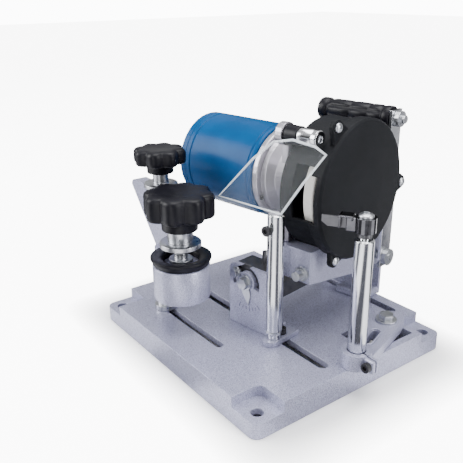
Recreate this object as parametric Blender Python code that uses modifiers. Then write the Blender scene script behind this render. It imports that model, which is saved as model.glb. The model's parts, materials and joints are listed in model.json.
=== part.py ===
"""Bench sharpener for circular saw blades: a grinding head on a slotted cast base.

World frame: +X along the slots towards the wheel side, +Y away from the operator, +Z up,
origin under the middle of the base plate. The grinding head is turned by HEAD_YAW about
the vertical, so its pieces are placed in a head frame whose x axis is the motor axis.
Lengths below are millimetres.
"""

import math

import bmesh
import bpy
from mathutils import Vector

MM = 0.001
GAP = 0.3
FINE, MID, SMALL = 36, 24, 14

# base plate
BASE_L, BASE_W, BASE_H = 250.0, 230.0, 25.0
BASE_TOP, BASE_WALL = 6.0, 6.0
POCKET, POCKET_FLOOR = 30.0, 15.0
FIX_HOLE_X, FIX_HOLE_Y, FIX_HOLE_R = 112.3, 102.5, 5.5
SEAT_SLOT = (-73.0, 30.0, -77.0, 8.0)
FRONT_SLOT = (-75.0, 111.0, -25.5, 11.0)
REAR_SLOT = (-30.0, 81.0, 98.5, 9.0)
WINDOW = (79.0, 118.0, 24.0, 79.0)
DECK = BASE_H + GAP

# blade seat
SEAT_X, SEAT_Y, SEAT_TOP = -66.0, -77.0, 34.0
ARBOR_X, ARBOR_Y = -24.0, -83.0
CUP_R, CUP_BOTTOM, CUP_TOP = 26.6, 57.5, 90.5
STUD_R, STUD_TOP = 6.0, 147.5
LOCK_X, LOCK_Y, LEDGE_Z = -80.0, -68.0, 147.5

# grinding head, in the head frame
HEAD_YAW = math.radians(9.0)
HEAD_Y = 31.0
AXIS_Z = 161.0
TILT_X, TILT_Z = 4.0, 72.0
SWING_Y, SWING_Z = 63.0, 76.0
BRACKET_Y, BRACKET_T = -70.0, 4.0
MOTOR_BACK, CAP_JOINT, MOTOR_FRONT, MOTOR_R = -113.8, -104.0, -14.0, 45.0
FLANGE_FRONT, NECK_FRONT = -8.0, 32.7
SHELL_BACK, SHELL_FRONT, SHELL_R = 33.0, 65.5, 60.0
COVER_BACK, COVER_FRONT, COVER_R = 65.8, 79.0, 63.0
WHEEL_BACK, WHEEL_T, WHEEL_R, SHAFT_R = 55.0, 10.0, 55.0, 6.0
BOX_X0, BOX_X1, BOX_FRONT, BOX_BACK, BOX_TOP = 24.0, 62.0, -50.0, 74.0, 112.0
STRIP_X, STRIP_T, STRIP_Y0, STRIP_Y1, STRIP_TOP = 66.5, 3.0, 54.5, 71.5, 222.0
GRIP_X0, GRIP_X1, GRIP_R, GRIP_Z = -14.0, 66.0, 11.0, 214.0
REST_Y, REST_Z, REST_R = -49.0, 212.5, 7.5
EARS = ((-33.0, 103.5), (70.0, 153.0), (-39.0, 222.0))

# front post with the shield, in the head frame
POST_X, POST_Y, POST_R, POST_TOP = 41.5, -73.0, 7.5, 149.7
SHIELD_Y, SHIELD_Z, SHIELD_LEAN, SHIELD_T = -76.0, 151.5, math.radians(8.0), 3.0

# corners of the sheet: place along the head's x, distance up the sheet
SHIELD_OUTLINE = [(-24, 0), (49, 0), (67.5, 29.5), (86, 56), (75, 60.5), (52.5, 62.5), (33, 58), (13, 41)]

# tooth stop
BOLT_X, BOLT_Y = 98.6, 64.0
BOSS_X, BOSS_Y, BOSS_R = 122.5, -2.5, 10.6
STOP_R, STOP_TOP = 8.0, 141.0
FINGER_Z, FINGER_H = 153.0, 9.0
TIP_X, TIP_Y = 92.6, -21.2

COLOURS = {
    "hammer_grey": ((0.42, 0.42, 0.47), 0.35, 0.7),
    "motor_blue": ((0.0, 0.13, 0.42), 0.35, 0.0),
    "charcoal": ((0.03, 0.032, 0.038), 0.6, 0.0),
    "black": ((0.015, 0.015, 0.017), 0.5, 0.0),
    "chrome": ((0.8, 0.8, 0.8), 0.1, 1.0),
    "zinc": ((0.6, 0.6, 0.62), 0.3, 1.0),
    "alu": ((0.55, 0.54, 0.58), 0.35, 1.0),
    "clear": ((0.85, 0.88, 0.9), 0.05, 0.0),
    "abrasive": ((0.5, 0.5, 0.48), 0.9, 0.0),
    "steel_dark": ((0.12, 0.12, 0.13), 0.4, 0.8),
    "copper": ((0.5, 0.22, 0.1), 0.4, 0.9),
}

PARTS = None
CUTTERS = None
ANCHOR = {}


# ---------------------------------------------------------------- scene helpers
def clear_scene():
    global PARTS, CUTTERS
    for obj in list(bpy.data.objects):
        bpy.data.objects.remove(obj, do_unlink=True)
    PARTS = bpy.data.collections.new("saw_blade_sharpener")
    CUTTERS = bpy.data.collections.new("cutters")
    for collection in (PARTS, CUTTERS):
        bpy.context.scene.collection.children.link(collection)


def material(name):
    found = bpy.data.materials.get(name)
    if found:
        return found
    rgb, rough, metal = COLOURS[name]
    made = bpy.data.materials.new(name)
    made.use_nodes = True
    shader = made.node_tree.nodes["Principled BSDF"]
    shader.inputs["Base Color"].default_value = (*rgb, 1.0)
    shader.inputs["Roughness"].default_value = rough
    shader.inputs["Metallic"].default_value = metal
    return made


def empty(name, parent, at, yaw=0.0):
    """An empty that carries moving pieces; its place is given in its parent's own frame."""
    made = bpy.data.objects.new(name, None)
    PARTS.objects.link(made)
    ANCHOR[name] = Vector(at)
    origin = ANCHOR[parent.name] if parent and parent.name != "head_frame" else Vector()
    made.parent = parent
    made.location = (Vector(at) - origin) * MM
    made.rotation_euler[2] = yaw
    return made


def anchor_of(parent):
    if parent is None or parent.name == "head_frame":
        return Vector()
    return ANCHOR[parent.name]


def place(obj, parent, at, turn=(0.0, 0.0, 0.0)):
    obj.parent = parent
    obj.location = (Vector(at) - anchor_of(parent)) * MM
    obj.rotation_euler = turn
    return obj


def link(name, mesh, finish, parent, at, turn):
    obj = bpy.data.objects.new(name, mesh)
    if finish:
        PARTS.objects.link(obj)
        mesh.materials.append(material(finish))
    else:
        CUTTERS.objects.link(obj)
        obj.hide_render = True
        obj.display_type = "WIRE"
    return place(obj, parent, at, turn)


def mesh_from(name, bm, smooth=True):
    mesh = bpy.data.meshes.new(name)
    bm.to_mesh(mesh)
    bm.free()
    if smooth:
        mesh.shade_smooth()
        mesh.set_sharp_from_angle(angle=math.radians(35))
    return mesh


# ---------------------------------------------------------------- shape helpers
ALONG = {"X": (0.0, math.pi / 2, 0.0), "Y": (-math.pi / 2, 0.0, 0.0), "Z": (0.0, 0.0, 0.0)}


def block(name, finish, parent, low, high, bevel=0.0, turn=0.0):
    """A box between two corners, with its own origin in its middle."""
    low, high = Vector(low), Vector(high)
    bm = bmesh.new()
    bmesh.ops.create_cube(bm, size=1.0)
    bmesh.ops.scale(bm, vec=(high - low) * MM, verts=bm.verts)
    if bevel:
        bmesh.ops.bevel(bm, geom=bm.edges[:], offset=bevel * MM, segments=1, affect="EDGES")
    return link(name, mesh_from(name, bm, False), finish, parent, (low + high) / 2, (0, 0, turn))


def rod(name, finish, parent, axis, radius, start, end, across, steps=MID):
    """A cylinder from start to end along an axis; across is its place on the other two."""
    bm = bmesh.new()
    bmesh.ops.create_cone(bm, cap_ends=True, segments=steps, radius1=radius * MM,
                          radius2=radius * MM, depth=(end - start) * MM)
    middle = (start + end) / 2
    at = {"X": (middle, *across), "Y": (across[0], middle, across[1]),
          "Z": (*across, middle)}[axis]
    return link(name, mesh_from(name, bm), finish, parent, at, ALONG[axis])


def turned(name, finish, parent, axis, profile, at, steps=MID):
    """A turned piece: profile points are (radius, place along the axis), outer side first,
    running from the high end to the low end. A closed profile makes a ring."""
    bm = bmesh.new()
    points = [bm.verts.new((r * MM, 0.0, a * MM)) for r, a in profile]
    for one, two in zip(points, points[1:]):
        bm.edges.new((one, two))
    if profile[0][0] > 0.0:
        bm.edges.new((points[-1], points[0]))
    obj = link(name, mesh_from(name, bm, False), finish, parent, at, ALONG[axis])
    screw = obj.modifiers.new("turn", "SCREW")
    screw.axis = "Z"
    screw.steps = steps
    screw.render_steps = steps
    screw.use_merge_vertices = True
    screw.merge_threshold = 0.00001
    screw.use_smooth_shade = True
    return obj


def ring(name, finish, parent, axis, outer, inner, start, end, across, steps=MID):
    profile = [(outer, end), (outer, start), (inner, start), (inner, end)]
    at = {"X": (0.0, *across), "Y": (across[0], 0.0, across[1]), "Z": (*across, 0.0)}[axis]
    return turned(name, finish, parent, axis, profile, at, steps)


def plate(name, finish, parent, outline, thick, at, turn):
    """A flat plate from an outline in its own x and y, thick along its own z, centred."""
    curve = bpy.data.curves.new(name, "CURVE")
    curve.dimensions = "2D"
    curve.fill_mode = "BOTH"
    curve.extrude = thick * MM / 2
    spline = curve.splines.new("POLY")
    spline.points.add(len(outline) - 1)
    for point, (x, y) in zip(spline.points, outline):
        point.co = (x * MM, y * MM, 0.0, 1.0)
    spline.use_cyclic_u = True
    shape = bpy.data.objects.new(name + "_outline", curve)
    CUTTERS.objects.link(shape)
    graph = bpy.context.evaluated_depsgraph_get()
    mesh = bpy.data.meshes.new_from_object(shape.evaluated_get(graph))
    bpy.data.objects.remove(shape, do_unlink=True)
    bm = bmesh.new()
    bm.from_mesh(mesh)
    bmesh.ops.remove_doubles(bm, verts=bm.verts, dist=0.00001)
    bmesh.ops.recalc_face_normals(bm, faces=bm.faces)
    bm.to_mesh(mesh)
    bm.free()
    return link(name, mesh, finish, parent, at, turn)


def boolean(obj, other, operation):
    step = obj.modifiers.new(operation.lower(), "BOOLEAN")
    step.operation = operation
    step.solver = "EXACT"
    step.object = other
    return obj


def cut(obj, *others):
    for other in others:
        boolean(obj, other, "DIFFERENCE")
    return obj


def join(obj, *others):
    for other in others:
        boolean(obj, other, "UNION")
    return obj


def arc(cx, cy, radius, start, end, steps):
    """Points on an arc, angles in degrees."""
    turns = [start + (end - start) * k / steps for k in range(steps + 1)]
    return [(cx + radius * math.cos(math.radians(t)), cy + radius * math.sin(math.radians(t)))
            for t in turns]


UPRIGHT_X = (math.pi / 2, 0.0, 0.0)              # outline x -> x, outline y -> z
UPRIGHT_Y = (math.pi / 2, 0.0, math.pi / 2)      # outline x -> y, outline y -> z
FLAT = (0.0, 0.0, 0.0)


def slot_cutter(name, parent, x0, x1, y, width, z0, z1):
    outline = arc(x1 - width / 2, y, width / 2, -90, 90, 6)
    outline += arc(x0 + width / 2, y, width / 2, 90, 270, 6)
    return plate(name, None, parent, outline, z1 - z0, (0, 0, (z0 + z1) / 2), FLAT)


def socket_screw(name, parent, axis, head_r, head_h, shank_r, length, at, flip=False, finish="black"):
    """A cap screw with a hexagon socket; at is the underside of its head."""
    sign = -1.0 if flip else 1.0
    socket = head_r * 0.5
    deep = head_h * 0.6
    profile = [(0.0, head_h - deep), (socket, head_h - deep), (socket, head_h), (head_r, head_h),
               (head_r, 0.0), (shank_r, 0.0), (shank_r, -length), (0.0, -length)]
    if flip:
        profile = [(r, -a) for r, a in reversed(profile)]
    return turned(name, finish, parent, axis, profile, at, SMALL)


# ---------------------------------------------------------------- base
def build_base():
    half_l, half_w = BASE_L / 2, BASE_W / 2
    corner = 8.0
    outline = []
    for sx, sy, start in ((1, 1, 0), (-1, 1, 90), (-1, -1, 180), (1, -1, 270)):
        outline += arc(sx * (half_l - corner), sy * (half_w - corner), corner, start, start + 90, 4)
    base = plate("base_plate", "hammer_grey", None, outline, BASE_H, (0, 0, BASE_H / 2), FLAT)
    ceiling = BASE_H - BASE_TOP
    low = POCKET_FLOOR - BASE_TOP
    inner_l, inner_w = half_l - BASE_WALL, half_w - BASE_WALL
    step = POCKET + BASE_WALL
    cut(base,
        block("hollow_low", None, None, (-inner_l, -inner_w, -5), (inner_l, inner_w, low)),
        block("hollow_x", None, None, (-inner_l, step - half_w, 1), (inner_l, half_w - step, ceiling)),
        block("hollow_y", None, None, (step - half_l, -inner_w, 2), (half_l - step, inner_w, ceiling)))
    join(base, rod("centre_boss", None, None, "Z", 9.0, 0, ceiling + 2, (0, 0), 16))
    for sx in (-1, 1):
        for sy in (-1, 1):
            tag = ("right" if sx > 0 else "left") + ("_back" if sy > 0 else "_front")
            cut(base, corner_pocket("pocket_" + tag, sx, sy),
                rod("fix_hole_" + tag, None, None, "Z", FIX_HOLE_R, 0, 20,
                    (sx * FIX_HOLE_X, sy * FIX_HOLE_Y), 16))
    for tag, (x0, x1, y, width) in (("seat", SEAT_SLOT), ("front", FRONT_SLOT), ("rear", REAR_SLOT)):
        cut(base, slot_cutter(tag + "_slot", None, x0, x1, y, width, 10, 40))
    cut(base, block("stop_window", None, None, (WINDOW[0], WINDOW[2], 10), (WINDOW[1], WINDOW[3], 40)))


def corner_pocket(name, sx, sy):
    """A square corner recess whose inner corner is rounded."""
    x, y, r = BASE_L / 2 - POCKET, BASE_W / 2 - POCKET, 6.0
    reach = 60.0
    outline = arc(x + r, y + r, r, 180, 270, 4) + [(x + reach, y), (x + reach, y + reach), (x, y + reach)]
    outline = [(sx * px, sy * py) for px, py in outline]
    if sx * sy < 0:
        outline.reverse()
    return plate(name, None, None, outline, 30.0, (0, 0, POCKET_FLOOR + 15.0), FLAT)


# ---------------------------------------------------------------- blade seat
def build_seat():
    seat = empty("seat_slide", None, (SEAT_X, SEAT_Y, DECK))
    turned("seat_post", "zinc", seat, "Z",
           [(0, SEAT_TOP), (8, SEAT_TOP), (8, 30), (11, 30), (11, DECK), (3.7, DECK), (3.7, 9), (0, 9)],
           (SEAT_X, SEAT_Y, 0))
    ring("seat_nut", "zinc", seat, "Z", 9.0, 4.7, 12, 18.7, (SEAT_X, SEAT_Y), 6)
    arm_axis = empty("seat_turn", seat, (SEAT_X, SEAT_Y, SEAT_TOP + GAP))
    rise = arc(-121, LEDGE_Z - 6.8, 6, 90, 180, 3)
    outline = [(-59, 77), (-61, LEDGE_Z - 0.8)] + rise + [(-76, 77)]
    arm = plate("seat_arm", "hammer_grey", arm_axis, outline, 14.0, (0, LOCK_Y, 0), UPRIGHT_X)
    join(arm,
         rod("arm_column", None, arm_axis, "Z", 8.5, SEAT_TOP + GAP, 92, (SEAT_X, SEAT_Y)),
         block("arm_saddle", None, arm_axis, (-66, SEAT_Y - 10, 60), (-44, SEAT_Y + 7, 87), 1.0),
         rod("arm_seat", None, arm_axis, "Z", 15.0, LEDGE_Z - 14, LEDGE_Z, (LOCK_X, LOCK_Y)))
    cut(arm,
        rod("cup_clearance", None, arm_axis, "Z", CUP_R + GAP, 30, 100, (ARBOR_X, ARBOR_Y), FINE),
        rod("lock_bore", None, arm_axis, "Z", 5.0, LEDGE_Z - 22, LEDGE_Z + 5, (LOCK_X, LOCK_Y), SMALL))
    build_arbor(arm_axis)
    build_lock(arm_axis)


def build_arbor(arm_axis):
    bore = STUD_R + GAP
    across = (ARBOR_X, ARBOR_Y)
    at = (ARBOR_X, ARBOR_Y, 0)
    turned("blade_cup", "hammer_grey", arm_axis, "Z",
           [(CUP_R - 1, CUP_TOP), (CUP_R, CUP_TOP - 1), (CUP_R, CUP_BOTTOM + 2), (CUP_R - 2, CUP_BOTTOM),
            (bore, CUP_BOTTOM), (bore, CUP_TOP)], at, FINE)
    turned("cone_ring", "black", arm_axis, "Z",
           [(27.4, 98.5), (28.4, 97.7), (28.4, 95.6), (25.5, CUP_TOP + GAP), (17, CUP_TOP + GAP), (17, 95.5),
            (19, 97.2)],
           at, FINE)
    turned("arbor_stud", "zinc", arm_axis, "Z",
           [(0, STUD_TOP), (STUD_R - 1, STUD_TOP), (STUD_R, STUD_TOP - 1), (STUD_R, CUP_TOP + 5),
            (11, CUP_TOP + 5), (11, CUP_TOP + GAP), (STUD_R, CUP_TOP + GAP), (STUD_R, CUP_BOTTOM - 3),
            (0, CUP_BOTTOM - 3)], at)
    clamp = empty("arbor_lift", arm_axis, (ARBOR_X, ARBOR_Y, 107.5))
    ring("arbor_washer", "zinc", clamp, "Z", 19.2, bore, 107.5, 112.2, across)
    ring("arbor_sleeve", "zinc", clamp, "Z", 11.8, bore, 112.5, 124.2, across)
    turning = empty("arbor_turn", clamp, (ARBOR_X, ARBOR_Y, 124.5))
    knob("arbor_knob", turning, 32.5, 124.5, 136.5, 159.5, 17.0, bore, STUD_TOP + 9.3, across)


def build_lock(arm_axis):
    at = (LOCK_X, LOCK_Y, 0)
    z = LEDGE_Z + GAP
    turned("lock_stud", "zinc", arm_axis, "Z",
           [(0, LEDGE_Z + 29), (4.2, LEDGE_Z + 29), (4.7, LEDGE_Z + 28), (4.7, LEDGE_Z - 21),
            (0, LEDGE_Z - 21)], at, SMALL)
    clamp = empty("lock_lift", arm_axis, (LOCK_X, SEAT_Y, z))
    turned("lock_sleeve", "zinc", clamp, "Z",
           [(7.5, z + 14.4), (7.5, z + 4), (16.5, z + 4), (16.5, z), (5.0, z), (5.0, z + 14.4)], at, 20)
    turning = empty("lock_turn", clamp, (LOCK_X, LOCK_Y, z + 14.7))
    knob("lock_knob", turning, 25.5, z + 14.7, z + 23.5, z + 38.5, 13.0, 5.0, z + 33.5, (LOCK_X, LOCK_Y))


def knob(name, parent, radius, low, mid, top, hub_r, bore, bore_top, across):
    """An eight-lobed star knob on a round hub, bored from below."""
    lobes, per_lobe = 8, 6
    outline = []
    for k in range(lobes * per_lobe):
        turn = 2 * math.pi * k / (lobes * per_lobe)
        depth = 0.5 + 0.5 * math.cos(lobes * turn)
        r = radius * (0.84 + 0.16 * depth ** 0.5)
        outline.append((r * math.cos(turn), r * math.sin(turn)))
    star = plate(name, "black", parent, outline, top - mid, (*across, (mid + top) / 2), FLAT)
    edge = star.modifiers.new("soft_edge", "BEVEL")
    edge.width = radius * 0.09 * MM
    edge.segments = 2
    edge.limit_method = "ANGLE"
    edge.angle_limit = math.radians(60)
    join(star, turned(name + "_hub", None, parent, "Z",
                      [(0, mid + 2), (hub_r + 2, mid + 2), (hub_r, low), (0, low)], (*across, 0)))
    cut(star, rod(name + "_bore", None, parent, "Z", bore, low - 2, bore_top, across, SMALL + 6))
    return star


# ---------------------------------------------------------------- head supports
def build_supports(head):
    z = DECK
    y = BRACKET_Y + BRACKET_T / 2
    outline = [(-17, z), (31, z), (31, 88)] + arc(-9, 80, 8, 90, 180, 4)
    front = plate("front_bracket", "hammer_grey", head, outline, BRACKET_T, (0, y, 0), UPRIGHT_X)
    join(front, block("front_flange", None, head, (-17, y, z), (31, -42, z + 4.7), 1.0))
    slot = arc(TILT_X, TILT_Z, 16.7, -20, 200, 14) + arc(TILT_X, TILT_Z, 10.3, 200, -20, 14)
    cut(front,
        plate("arc_slot", None, head, slot, 10.0, (0, y, 0), UPRIGHT_X),
        rod("tilt_bore", None, head, "Y", 4.3, y - 6, y + 6, (TILT_X, TILT_Z), SMALL),
        rod("front_bore", None, head, "Z", 3.3, z - 3, z + 8, (8, -59), SMALL))
    socket_screw("front_foot_screw", head, "Z", 5, 6, 3, 16, (8, -59, z + 4.7 + GAP))
    outline = [(-14, z), (57, z), (57, 60), (20, 62), (16, 80), (10, 86), (-2, 86), (-14, 78)]
    rear = plate("rear_bracket", "hammer_grey", head, outline, 4.0, (0, 78, 0), UPRIGHT_X)
    cut(join(rear, block("rear_foot", None, head, (22, 51, z), (57, 79, z + 7.7), 1.0)),
        rod("rear_tilt_bore", None, head, "Y", 4.3, 74, 82, (TILT_X, TILT_Z), SMALL),
        rod("rear_foot_bore", None, head, "Z", 3.3, z - 3, z + 14, (50, 60.4), SMALL))
    socket_screw("rear_foot_screw", head, "Z", 5, 6, 3, 19, (50, 60.4, z + 7.7 + GAP))


def build_tilt(head):
    """The frame that tilts between the two brackets and carries the swing pin."""
    tilt = empty("tilt_turn", head, (TILT_X, 0, TILT_Z))
    frame = block("tilt_frame", "steel_dark", tilt, (-12, -65.7, 42), (23.7, -44, 87.5), 1.2)
    join(frame,
         block("tilt_rail", None, tilt, (-6, -50, 44), (14, 74, 60)),
         block("tilt_lug", None, tilt, (-5, 50, 45), (23.7, 75.7, 86), 1.2),
         rod("stop_screw", None, tilt, "Z", 3.0, 80, 100, (12, -52), SMALL))
    cut(frame,
        rod("frame_front_bore", None, tilt, "Y", 4.3, -70, -46.2, (TILT_X, TILT_Z), SMALL),
        rod("frame_lock_bore", None, tilt, "Y", 3.3, -70, -50.5, (-7.1, 79.7), SMALL),
        rod("frame_rear_bore", None, tilt, "Y", 4.3, 64, 80, (TILT_X, TILT_Z), SMALL),
        rod("frame_pin_bore", None, tilt, "X", 5.3, 11.5, 30, (SWING_Y, SWING_Z), SMALL))
    return tilt


def hex_bolt(name, parent, at, hex_r, hex_h, washer_r, shank_r, length, axis, flip):
    """A hexagon bolt with its washer; at is the underside of the washer."""
    washer_h = 1.6
    profile = [(0, washer_h + 1), (hex_r * 0.8, washer_h + 1), (hex_r * 0.8, washer_h),
               (washer_r, washer_h), (washer_r, 0), (shank_r, 0), (shank_r, -length), (0, -length)]
    head = [(0, washer_h + hex_h), (hex_r, washer_h + hex_h), (hex_r, washer_h - 0.4), (0, washer_h - 0.4)]
    if flip:
        profile = [(r, -a) for r, a in reversed(profile)]
        head = [(r, -a) for r, a in reversed(head)]
    bolt = turned(name, "zinc", parent, axis, profile, at, SMALL)
    join(bolt, turned(name + "_hex", None, parent, axis, head, at, 6))
    return bolt


def build_tilt_bolts(head, tilt):
    y = BRACKET_Y - GAP
    hex_bolt("tilt_bolt", tilt, (TILT_X, y, TILT_Z), 5.8, 4.5, 7.6, 4.0, 22, "Y", True)
    hex_bolt("tilt_lock_bolt", tilt, (-7.1, y, 79.7), 4.4, 4.0, 5.4, 2.7, 18, "Y", True)
    hex_bolt("rear_tilt_bolt", tilt, (TILT_X, 80 + GAP, TILT_Z), 6.0, 4.5, 8.5, 4.0, 14, "Y", False)


# ---------------------------------------------------------------- swing arm
def build_swing(tilt):
    swing = empty("swing_turn", tilt, (0, SWING_Y, SWING_Z))
    middle = (BOX_X0 + BOX_X1) / 2
    outline = [(BOX_FRONT, 81.5), (22, 69), (BOX_BACK, 66), (BOX_BACK, BOX_TOP), (BOX_FRONT, BOX_TOP)]
    box = plate("swing_box", "hammer_grey", swing, outline, BOX_X1 - BOX_X0, (middle, 0, 0), UPRIGHT_Y)
    cut(box,
        block("box_hollow", None, swing, (BOX_X0 + 4, BOX_FRONT + 5, 40), (BOX_X1 - 4, BOX_BACK - 4, 96)),
        rod("guard_saddle", None, swing, "X", SHELL_R + GAP, NECK_FRONT, 90, (0, AXIS_Z), 48),
        rod("box_pin_bore", None, swing, "X", 5.3, 20, 70, (SWING_Y, SWING_Z), SMALL),
        rod("stop_rod_bore", None, swing, "Y", 3.3, -60, -40, (54.4, 90.7), SMALL))
    turned("stop_rod", "zinc", swing, "Y",
           [(0, -43), (3, -43), (3, -50.3), (7, -50.3), (7, -53), (4.5, -53), (4.5, -61), (4, -61.5), (0, -61.5)],
           (54.4, 0, 90.7), 16)
    turned("swing_pin", "zinc", swing, "X",
           [(0, 75.5), (4, 75.5), (4, 74.5), (8.5, 74.5), (8.5, 69.8), (5, 69.8), (5, 12.5), (0, 12.5)],
           (0, SWING_Y, SWING_Z), SMALL)
    build_handle(swing)
    return swing


def build_handle(swing):
    y = (STRIP_Y0 + STRIP_Y1) / 2
    outline = [(STRIP_Y0, 66), (STRIP_Y1, 66), (STRIP_Y1, STRIP_TOP), (STRIP_Y0, STRIP_TOP)]
    strip = plate("handle_strip", "chrome", swing, outline, STRIP_T, (STRIP_X + STRIP_T / 2, 0, 0), UPRIGHT_Y)
    cut(strip,
        rod("strip_pin_bore", None, swing, "X", 5.3, 60, 75, (SWING_Y, SWING_Z), SMALL),
        rod("strip_bolt_bore", None, swing, "X", 4.3, 60, 75, (y, GRIP_Z), SMALL))
    ribs = []
    for k in range(7):
        at = GRIP_X1 - 6 - k * 10.5
        ribs += [(GRIP_R, at), (GRIP_R, at - 7.5), (GRIP_R - 1.4, at - 8.3), (GRIP_R - 1.4, at - 9.7)]
    profile = [(4.3, GRIP_X1 + 0.2), (GRIP_R, GRIP_X1 + 0.2)] + ribs[:-2] + [(GRIP_R, GRIP_X0 + 2),
                                                                            (GRIP_R - 3, GRIP_X0), (0, GRIP_X0)]
    turned("handle_grip", "black", swing, "X",
           [(0, GRIP_X0 + 12), (4.3, GRIP_X0 + 12)] + profile, (0, y, GRIP_Z), 20)
    turned("handle_bolt", "zinc", swing, "X",
           [(0, 79), (3.5, 79), (4, 78.5), (4, 75), (7.5, 75), (7.5, 69.8), (4, 69.8), (4, 0), (0, 0)],
           (0, y, GRIP_Z), SMALL)


# ---------------------------------------------------------------- motor and wheel
def build_motor(swing):
    at = (0, 0, AXIS_Z)
    inner = MOTOR_R - 3
    grooves = []
    for place_x in (-20.0, -97.0):
        grooves += [(MOTOR_R, place_x + 1), (MOTOR_R - 1, place_x), (MOTOR_R, place_x - 1)]
    turned("motor_body", "motor_blue", swing, "X",
           [(MOTOR_R - 1.5, MOTOR_FRONT), (MOTOR_R, MOTOR_FRONT - 1.5)] + grooves
           + [(MOTOR_R, CAP_JOINT + GAP), (inner, CAP_JOINT + GAP), (inner, MOTOR_FRONT)], at, 40)
    cap = turned("motor_rear_cap", "motor_blue", swing, "X",
                 [(13, CAP_JOINT + 10), (13, CAP_JOINT), (MOTOR_R, CAP_JOINT), (MOTOR_R, MOTOR_BACK + 3),
                  (MOTOR_R - 3, MOTOR_BACK), (0, MOTOR_BACK), (0, CAP_JOINT - 3), (8.3, CAP_JOINT - 3),
                  (8.3, CAP_JOINT + 10)], at, 40)
    cut(cap,
        block("switch_seat", None, swing, (MOTOR_BACK - 5, -10.3, 178.7), (MOTOR_BACK + 3, 10.3, 195.3)),
        rod("gland_seat", None, swing, "X", 6.3, MOTOR_BACK - 5, MOTOR_BACK + 3, (0, 129), SMALL))
    turned("motor_flange", "alu", swing, "X",
           [(7, FLANGE_FRONT), (42, FLANGE_FRONT), (43, FLANGE_FRONT - 1), (43, MOTOR_FRONT + GAP),
            (13, MOTOR_FRONT + GAP), (13, MOTOR_FRONT - 9), (8.3, MOTOR_FRONT - 9), (8.3, MOTOR_FRONT + 2),
            (7, MOTOR_FRONT + 2)], at, 40)
    neck = turned("neck", "alu", swing, "X",
                  [(30, NECK_FRONT), (38, NECK_FRONT - 1), (38, 25), (31, 20), (28, 11), (30, 3), (37, -3),
                   (38, FLANGE_FRONT + GAP), (11, FLANGE_FRONT + GAP), (11, NECK_FRONT)], at, 40)
    join(neck,
         block("neck_leg", None, swing, (BOX_X0 - 1, -45, BOX_TOP + GAP), (NECK_FRONT - 0.6, -8, 143), 1.0),
         block("neck_ear", None, swing, (BOX_X0 + 1, REST_Y + 1, 186), (NECK_FRONT - 0.4, -18, 206), 1.0),
         rod("ear_round", None, swing, "X", 10.0, BOX_X0 + 2, NECK_FRONT, (REST_Y, REST_Z), 20))
    cut(neck, rod("rest_bore", None, swing, "X", 4.3, BOX_X0 + 4, 40, (REST_Y, REST_Z), SMALL),
        rod("neck_bore", None, swing, "X", 14, -20, 45, (0, AXIS_Z), 30))
    ring("stator", "copper", swing, "X", inner - GAP, 26, -92, -32, (0, AXIS_Z), 30)
    for name, low in (("front_bearing", -22.7), ("rear_bearing", CAP_JOINT + 1)):
        ring(name, "steel_dark", swing, "X", 8.0, SHAFT_R - 1 + GAP, low, low + 8, (0, AXIS_Z), 20)
    build_rocker(swing)
    ring("cable_gland", "black", swing, "X", 8, 3, MOTOR_BACK - 9, MOTOR_BACK - GAP, (0, 129), 16)


def build_rocker(swing):
    x = MOTOR_BACK
    place_at = (x - 1.5, 0, 187)
    axis = empty("rocker_turn", swing, place_at)
    rock = plate("rocker_switch", "black", axis, [(-8, -1), (0, -2.2), (8, -1), (8, 2.6), (-8, 0.6)],
                 14, (x - 1.7, 0, 187), (math.pi / 2, math.pi / 2, 0))
    return rock


def build_wheel(swing):
    spin = empty("wheel_spin", swing, (0, 0, AXIS_Z))
    at = (0, 0, AXIS_Z)
    r = SHAFT_R
    turned("spindle", "steel_dark", spin, "X",
           [(0, 73.5), (r - 1, 73.5), (r, 72.5), (r, WHEEL_BACK - GAP), (20, WHEEL_BACK - GAP), (20, 49), (r, 49),
            (r, -14), (r - 1, -14), (r - 1, -31), (25.5, -31), (25.5, -93), (r - 1, -93), (r - 1, CAP_JOINT),
            (0, CAP_JOINT)], at, 30)
    ring("grinding_wheel", "abrasive", spin, "X", WHEEL_R, r + GAP, WHEEL_BACK, WHEEL_BACK + WHEEL_T,
         (0, AXIS_Z), 48)
    turned("wheel_nut", "zinc", spin, "X",
           [(11, 72), (11, 67), (19, 67), (19, WHEEL_BACK + WHEEL_T + GAP), (r + GAP, WHEEL_BACK + WHEEL_T + GAP),
            (r + GAP, 72)], at, 20)


# ---------------------------------------------------------------- guard
def build_guard(swing):
    at = (0, 0, AXIS_Z)
    r = SHELL_R
    back = turned("guard_back", "charcoal", swing, "X",
                  [(r - 3, SHELL_FRONT), (r, SHELL_FRONT), (r, SHELL_BACK + 1), (r - 1, SHELL_BACK),
                   (10, SHELL_BACK), (10, SHELL_BACK + 3), (r - 3, SHELL_BACK + 3)], at, 48)
    cut(back, block("wheel_opening", None, swing, (46, -80, 143), (SHELL_FRONT + 5, -40, 190)))
    r = COVER_R
    cover = turned("guard_cover", "charcoal", swing, "X",
                   [(0, COVER_FRONT), (30, COVER_FRONT), (r - 2, COVER_FRONT - 0.6), (r, COVER_FRONT - 2.6),
                    (r, COVER_BACK), (r - 3, COVER_BACK), (r - 3, COVER_FRONT - 3), (0, COVER_FRONT - 3)], at, 48)
    for number, (y, z) in enumerate(EARS):
        join(cover, ear_lug(f"cover_ear_{number}", swing, y, z))
    cut(cover,
        block("strip_notch", None, swing, (60, STRIP_Y0 - 1.5, 60), (STRIP_X + STRIP_T + 1, 90, 260)),
        block("cover_opening", None, swing, (60, -80, 143), (72, -40, 184)))


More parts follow.
